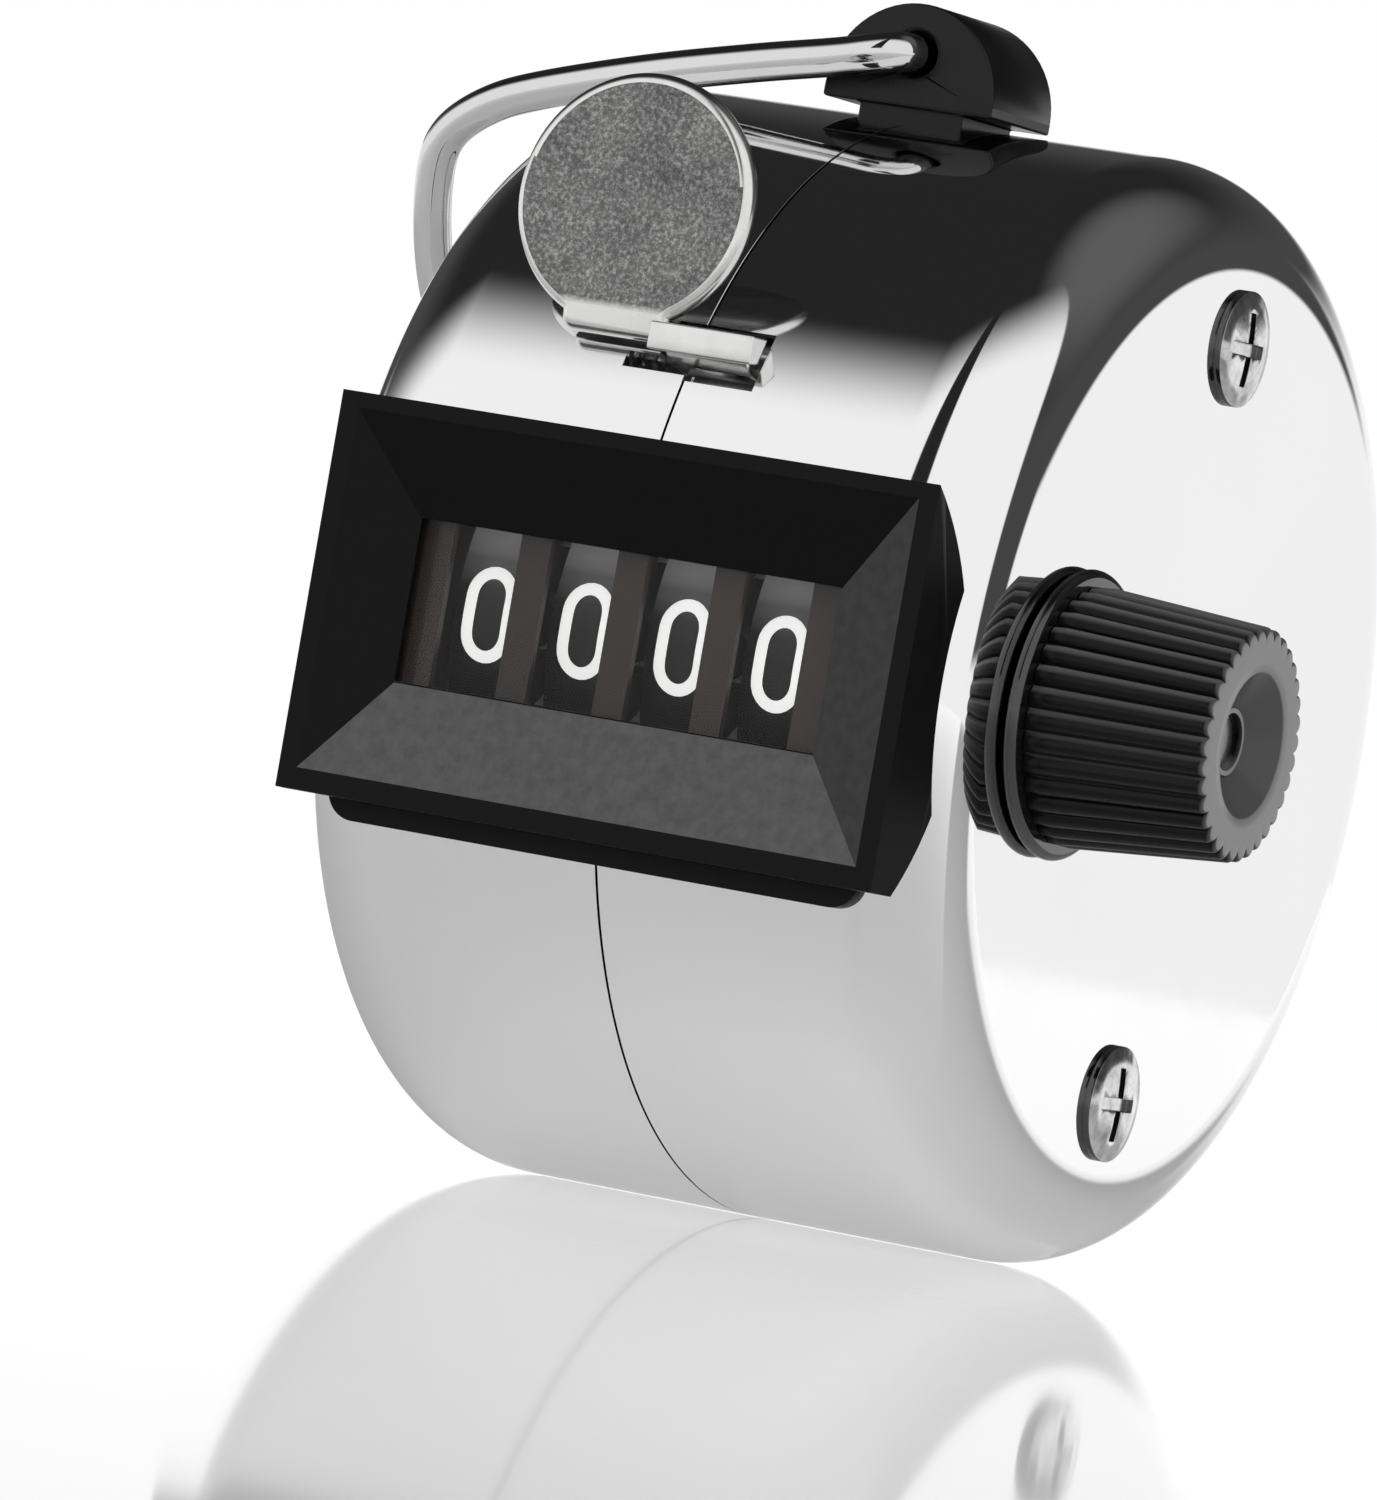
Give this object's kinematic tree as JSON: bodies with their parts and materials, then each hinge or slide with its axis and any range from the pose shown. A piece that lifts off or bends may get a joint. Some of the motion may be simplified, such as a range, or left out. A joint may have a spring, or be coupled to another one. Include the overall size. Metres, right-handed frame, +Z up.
{
  "type": "hand tally counter",
  "caption": "Drum-shaped hand counter with a digit window, thumb lever, reset knob and folding finger ring.",
  "frame": {"origin": "on the table under the middle of the object's box; the drum's rim stands on it", "axes": "+Z up, -Y out of the digit window, +X towards the reset knob along the drum's axis"},
  "size_m": [0.0426, 0.0447, 0.0484],
  "materials": {
    "chrome_case": "bright chrome plating on drawn steel",
    "screw_chrome": "bright plated screw heads",
    "ring_chrome": "bright plated wire",
    "satin_nickel": "sand-blasted nickel with a bright rounded edge",
    "bezel_black": "moulded black plastic with a fine grain",
    "block_black": "moulded black plastic",
    "knob_black": "moulded black plastic, semi-gloss",
    "clear_lens": "clear polished plastic window",
    "mask_brown": "dark brown-black painted sheet",
    "wheel_black": "black moulded wheels with white printed numerals",
    "pinion_ivory": "natural acetal",
    "zinc_steel": "zinc-plated pressed steel",
    "hard_steel": "hardened steel, darkened",
    "spring_steel": "drawn spring steel",
    "brass": "turned and pressed brass"
  },
  "bodies": {
    "case": {"left_shell": "chrome_case", "right_shell": "chrome_case", "case_pillars": "zinc_steel", "case_screws": "screw_chrome", "bezel": "bezel_black", "window_lens": "clear_lens", "digit_mask": "mask_brown", "ring_block": "block_black", "frame_left_plate": "zinc_steel", "frame_right_plate": "zinc_steel", "frame_spacers": "zinc_steel", "knob_bushing": "brass", "lever_pin": "zinc_steel", "lever_spring": "spring_steel", "detent_spring": "spring_steel", "pinion_shaft": "zinc_steel"},
    "ring": {"finger_ring": "ring_chrome"},
    "lever": {"thumb_lever": "satin_nickel", "pawl_pin": "zinc_steel", "pawl_spring": "spring_steel"},
    "pawl": {"drive_pawl": "hard_steel"},
    "reset": {"number_shaft": "zinc_steel", "shaft_clip": "spring_steel", "reset_knob": "knob_black"},
    "units": {"units_wheel": "wheel_black", "units_ratchet": "hard_steel", "units_reset_dog": "brass"},
    "tens": {"tens_wheel": "wheel_black", "tens_reset_dog": "brass"},
    "hundreds": {"hundreds_wheel": "wheel_black", "hundreds_reset_dog": "brass"},
    "thousands": {"thousands_wheel": "wheel_black", "thousands_reset_dog": "brass"},
    "tens_carry": {"tens_pinion": "pinion_ivory"},
    "hundreds_carry": {"hundreds_pinion": "pinion_ivory"},
    "thousands_carry": {"thousands_pinion": "pinion_ivory"}
  },
  "joints": [
    {"name": "ring_swing", "type": "hinge", "parent": "case", "child": "ring", "pos_m": [-0.00068, -0.00175, 0.04635], "axis": [0, 1, 0], "range_deg": [0, 120]},
    {"name": "lever_press", "type": "hinge", "parent": "case", "child": "lever", "pos_m": [-0.00089, -0.01625, 0.0327], "axis": [-1, 0, 0], "range_deg": [0, 22], "stiffness_Nm_per_rad": 0.12, "springref_deg": -20.05, "deforming": ["lever_spring"]},
    {"name": "pawl_swing", "type": "hinge", "parent": "lever", "child": "pawl", "pos_m": [0.00801, -0.00725, 0.033], "axis": [-1, 0, 0], "range_deg": [-22, 0], "deforming": ["pawl_spring"]},
    {"name": "reset_turn", "type": "hinge", "parent": "case", "child": "reset", "pos_m": [-0.00089, -0.01075, 0.0217], "axis": [1, 0, 0], "continuous": true},
    {"name": "units_spin", "type": "hinge", "parent": "case", "child": "units", "pos_m": [-0.00089, -0.01075, 0.0217], "axis": [-1, 0, 0], "continuous": true},
    {"name": "tens_spin", "type": "hinge", "parent": "case", "child": "tens", "pos_m": [-0.00089, -0.01075, 0.0217], "axis": [-1, 0, 0], "continuous": true},
    {"name": "hundreds_spin", "type": "hinge", "parent": "case", "child": "hundreds", "pos_m": [-0.00089, -0.01075, 0.0217], "axis": [-1, 0, 0], "continuous": true},
    {"name": "thousands_spin", "type": "hinge", "parent": "case", "child": "thousands", "pos_m": [-0.00089, -0.01075, 0.0217], "axis": [-1, 0, 0], "continuous": true},
    {"name": "tens_carry_spin", "type": "hinge", "parent": "case", "child": "tens_carry", "pos_m": [-0.00089, -0.00422, 0.01517], "axis": [-1, 0, 0], "continuous": true},
    {"name": "hundreds_carry_spin", "type": "hinge", "parent": "case", "child": "hundreds_carry", "pos_m": [-0.00089, -0.00422, 0.01517], "axis": [-1, 0, 0], "continuous": true},
    {"name": "thousands_carry_spin", "type": "hinge", "parent": "case", "child": "thousands_carry", "pos_m": [-0.00089, -0.00422, 0.01517], "axis": [-1, 0, 0], "continuous": true}
  ],
  "couplings": [
    {"joint": "pawl_swing", "follows": "lever_press", "ratio": -1},
    {"joint": "tens_spin", "follows": "units_spin", "ratio": 0.1},
    {"joint": "tens_carry_spin", "follows": "units_spin", "ratio": -0.25},
    {"joint": "hundreds_spin", "follows": "units_spin", "ratio": 0.01},
    {"joint": "hundreds_carry_spin", "follows": "units_spin", "ratio": -0.025},
    {"joint": "thousands_spin", "follows": "units_spin", "ratio": 0.001},
    {"joint": "thousands_carry_spin", "follows": "units_spin", "ratio": -0.0025}
  ]
}
